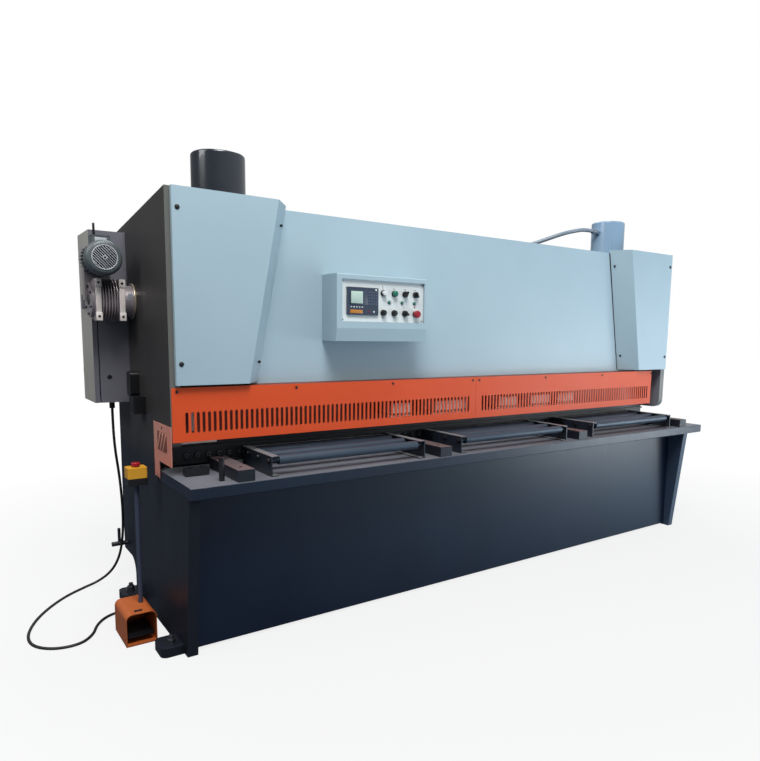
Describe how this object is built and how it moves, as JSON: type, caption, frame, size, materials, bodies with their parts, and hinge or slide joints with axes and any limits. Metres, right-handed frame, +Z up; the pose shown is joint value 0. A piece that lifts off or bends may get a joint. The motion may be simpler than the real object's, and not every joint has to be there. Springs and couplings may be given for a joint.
{
  "type": "hydraulic guillotine shear",
  "caption": "Plate shear with side frames, raked ram, two main cylinders, slotted finger guards, roller frames on the table, control box, cabinet and foot switch.",
  "frame": {"origin": "on the floor at the centre of the four foundation bolt holes", "axes": "+X to the operator's right along the blades, +Y to the rear, +Z up"},
  "size_m": [4.5583, 1.283, 2.34],
  "materials": {
    "dark_frame": "dark blue-grey machine paint, semi-gloss",
    "light_panel": "pale blue-grey powder coat",
    "guard_orange": "orange powder coat",
    "tool_steel": "ground tool steel",
    "arm_steel": "bare steel with light rust on top",
    "roller_steel": "worn painted steel tube",
    "rod_chrome": "hard chrome",
    "switch_white": "white enamel",
    "black_plastic": "black plastic",
    "motor_grey": "grey painted casting",
    "gear_alloy": "bare cast alloy with machined rims",
    "pipe_black": "dark painted pipe",
    "pedal_orange": "orange hammer paint",
    "stop_yellow": "yellow plastic",
    "stop_red": "red plastic",
    "cable_black": "black cable sheath"
  },
  "bodies": {
    "root": {"left_side_plate": "dark_frame", "right_side_plate": "dark_frame", "table_plate": "dark_frame", "front_apron": "dark_frame", "lower_beam": "dark_frame", "lower_blade": "tool_steel", "rear_tie_beam": "dark_frame", "left_cylinder": "dark_frame", "right_cylinder": "dark_frame", "cylinder_brackets": "dark_frame", "oil_tank": "dark_frame", "hydraulic_pipe": "pipe_black", "hold_down_beam": "dark_frame", "main_front_panel": "light_panel", "left_front_cover": "light_panel", "right_front_cover": "light_panel", "left_finger_guard": "guard_orange", "right_finger_guard": "guard_orange", "side_guard": "guard_orange", "table_arms": "arm_steel", "support_frame_1": "dark_frame", "support_frame_2": "dark_frame", "support_frame_3": "dark_frame", "side_gauge": "arm_steel", "control_box": "light_panel", "switch_plate": "switch_white", "gauge_controller": "black_plastic", "panel_switches": "black_plastic", "cabinet_body": "dark_frame", "adjuster_motor": "motor_grey", "adjuster_gearbox": "gear_alloy", "junction_box": "black_plastic", "sensor_box": "black_plastic", "drain_cock": "pipe_black", "pedal_hood": "pedal_orange", "pedal_pole": "dark_frame", "stop_box": "stop_yellow", "cable_glands": "black_plastic", "pedal_cable": "cable_black"},
    "ram": {"ram_beam": "dark_frame", "upper_blade": "tool_steel", "piston_rods": "rod_chrome", "back_gauge": "dark_frame"},
    "hold_downs": {"hold_down_feet": "tool_steel"},
    "cabinet_door": {"cabinet_door": "dark_frame"},
    "pedal": {"foot_pedal": "black_plastic"},
    "panel_stop_head": {"panel_stop": "stop_red"},
    "pedal_stop_head": {"pedal_stop": "stop_red"},
    "roller_1_1": {"roller_1_1": "roller_steel"},
    "roller_1_2": {"roller_1_2": "roller_steel"},
    "roller_1_3": {"roller_1_3": "roller_steel"},
    "roller_2_1": {"roller_2_1": "roller_steel"},
    "roller_2_2": {"roller_2_2": "roller_steel"},
    "roller_2_3": {"roller_2_3": "roller_steel"},
    "roller_3_1": {"roller_3_1": "roller_steel"},
    "roller_3_2": {"roller_3_2": "roller_steel"},
    "roller_3_3": {"roller_3_3": "roller_steel"}
  },
  "joints": [
    {"name": "ram_slide", "type": "slide", "parent": "root", "child": "ram", "axis": [0, 0, -1], "range_m": [0, 0.15]},
    {"name": "hold_down_slide", "type": "slide", "parent": "root", "child": "hold_downs", "axis": [0, 0, -1], "range_m": [0, 0.022], "stiffness_N_per_m": 20000, "springref_m": -0.05},
    {"name": "cabinet_door_hinge", "type": "hinge", "parent": "root", "child": "cabinet_door", "pos_m": [-2.0655, 0.7, 1.531], "axis": [0, 0, -1], "range_deg": [0, 100]},
    {"name": "pedal_hinge", "type": "hinge", "parent": "root", "child": "pedal", "pos_m": [-2.05, -0.045, 0.042], "axis": [1, 0, 0], "range_deg": [0, 8], "stiffness_Nm_per_rad": 12, "springref_deg": -22.92},
    {"name": "panel_stop_push", "type": "slide", "parent": "root", "child": "panel_stop_head", "axis": [0, 1, 0], "range_m": [0, 0.005], "stiffness_N_per_m": 800, "springref_m": -0.003},
    {"name": "pedal_stop_push", "type": "slide", "parent": "root", "child": "pedal_stop_head", "axis": [0, 0, -1], "range_m": [0, 0.005], "stiffness_N_per_m": 800, "springref_m": -0.003},
    {"name": "roller_1_1_spin", "type": "hinge", "parent": "root", "child": "roller_1_1", "pos_m": [-1.072, -0.512, 0.873], "axis": [1, 0, 0], "continuous": true},
    {"name": "roller_1_2_spin", "type": "hinge", "parent": "root", "child": "roller_1_2", "pos_m": [-1.072, -0.39, 0.873], "axis": [1, 0, 0], "continuous": true},
    {"name": "roller_1_3_spin", "type": "hinge", "parent": "root", "child": "roller_1_3", "pos_m": [-1.072, -0.268, 0.873], "axis": [1, 0, 0], "continuous": true},
    {"name": "roller_2_1_spin", "type": "hinge", "parent": "root", "child": "roller_2_1", "pos_m": [0.088, -0.512, 0.873], "axis": [1, 0, 0], "continuous": true},
    {"name": "roller_2_2_spin", "type": "hinge", "parent": "root", "child": "roller_2_2", "pos_m": [0.088, -0.39, 0.873], "axis": [1, 0, 0], "continuous": true},
    {"name": "roller_2_3_spin", "type": "hinge", "parent": "root", "child": "roller_2_3", "pos_m": [0.088, -0.268, 0.873], "axis": [1, 0, 0], "continuous": true},
    {"name": "roller_3_1_spin", "type": "hinge", "parent": "root", "child": "roller_3_1", "pos_m": [1.248, -0.512, 0.873], "axis": [1, 0, 0], "continuous": true},
    {"name": "roller_3_2_spin", "type": "hinge", "parent": "root", "child": "roller_3_2", "pos_m": [1.248, -0.39, 0.873], "axis": [1, 0, 0], "continuous": true},
    {"name": "roller_3_3_spin", "type": "hinge", "parent": "root", "child": "roller_3_3", "pos_m": [1.248, -0.268, 0.873], "axis": [1, 0, 0], "continuous": true}
  ]
}
